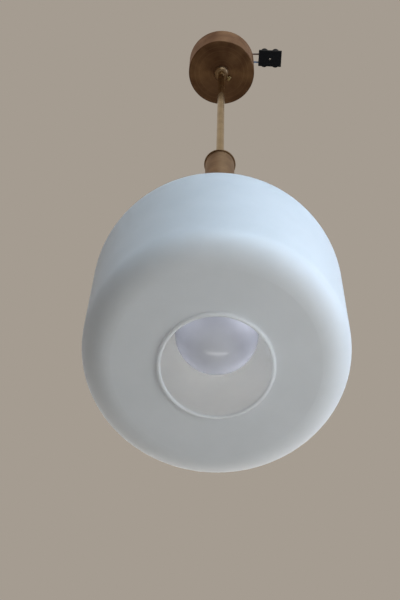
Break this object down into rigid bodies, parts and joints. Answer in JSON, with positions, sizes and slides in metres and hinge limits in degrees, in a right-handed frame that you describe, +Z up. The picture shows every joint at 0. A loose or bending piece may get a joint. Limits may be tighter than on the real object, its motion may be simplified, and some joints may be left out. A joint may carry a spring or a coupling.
{
  "type": "pendant ceiling light",
  "caption": "Opal glass drum shade on a slim brass stem with a long neck sleeve, a ceiling cup that slides on the stem and a hanging eye.",
  "frame": {"origin": "centre of the hanging eye at the top of the light", "axes": "+Z up along the stem, away from the shade; +X along the eye's bore, towards the side that the terminal block lies on"},
  "size_m": [0.2508, 0.2508, 1.0613],
  "materials": {
    "aged_brass": "aged satin brass, lacquered",
    "plain_brass": "plain turned brass",
    "stem_brass": "drawn brass tube, aged",
    "opal_glass": "satin-etched blown opal glass",
    "lamp_glass": "white opal lamp glass, glossy",
    "clear_glass": "clear glass",
    "lamp_cap": "nickel-plated cap",
    "black_glass": "black glass insulator",
    "black_bakelite": "black moulded phenolic",
    "porcelain": "glazed porcelain",
    "zinc_steel": "zinc-plated steel",
    "tungsten": "wire",
    "silicone": "grey silicone ring",
    "natural_nylon": "natural nylon",
    "brown_insulation": "brown PVC insulation",
    "blue_insulation": "blue PVC insulation",
    "black_nylon": "black moulded nylon"
  },
  "bodies": {
    "lamp": {"hanger": "aged_brass", "hanger_nuts": "plain_brass", "stem": "stem_brass", "stem_bush": "natural_nylon", "sleeve_cap": "aged_brass", "neck_sleeve": "aged_brass", "sleeve_foot": "plain_brass", "gallery_nuts": "plain_brass", "gallery_washers": "plain_brass", "gallery": "aged_brass", "gallery_gasket": "silicone", "glass_drum": "opal_glass", "holder_cap": "black_bakelite", "holder_skirt": "black_bakelite", "holder_core": "porcelain", "holder_shell": "plain_brass", "holder_contact": "plain_brass", "holder_terminals": "plain_brass", "holder_screws": "zinc_steel", "lead_brown": "brown_insulation", "lead_blue": "blue_insulation", "tail_brown": "brown_insulation", "tail_blue": "blue_insulation", "block_body": "black_nylon", "block_barrels": "plain_brass", "block_screws": "zinc_steel"},
    "cup": {"ceiling_cup": "aged_brass", "cup_collar": "aged_brass"},
    "cup_lock": {"cup_lock_screw": "aged_brass"},
    "thumb_1": {"thumbscrew_1": "aged_brass"},
    "thumb_2": {"thumbscrew_2": "aged_brass"},
    "thumb_3": {"thumbscrew_3": "aged_brass"},
    "bulb_carrier": {"bulb_insulator": "black_glass", "bulb_contact": "plain_brass"},
    "bulb": {"bulb_globe": "lamp_glass", "bulb_cap": "lamp_cap", "bulb_mount": "clear_glass", "bulb_filament": "tungsten"}
  },
  "joints": [
    {"name": "cup_slide", "type": "slide", "parent": "lamp", "child": "cup", "axis": [0, 0, 1], "range_m": [-0.388, 0]},
    {"name": "cup_lock_release", "type": "slide", "parent": "cup", "child": "cup_lock", "axis": [0.848, 0.5299, 0], "range_m": [0, 0.004]},
    {"name": "thumb_1_release", "type": "slide", "parent": "lamp", "child": "thumb_1", "axis": [0, 1, 0], "range_m": [0, 0.004]},
    {"name": "thumb_2_release", "type": "slide", "parent": "lamp", "child": "thumb_2", "axis": [-0.866, -0.5, 0], "range_m": [0, 0.004]},
    {"name": "thumb_3_release", "type": "slide", "parent": "lamp", "child": "thumb_3", "axis": [0.866, -0.5, 0], "range_m": [0, 0.004]},
    {"name": "bulb_travel", "type": "slide", "parent": "lamp", "child": "bulb_carrier", "axis": [0, 0, -1], "range_m": [0, 0.01815]},
    {"name": "bulb_turn", "type": "hinge", "parent": "bulb_carrier", "child": "bulb", "pos_m": [0, 0, -0.9633], "axis": [0, 0, -1], "range_deg": [0, 1800]}
  ],
  "couplings": [
    {"joint": "bulb_travel", "follows": "bulb_turn", "m_per_rad": 0.0005776}
  ]
}
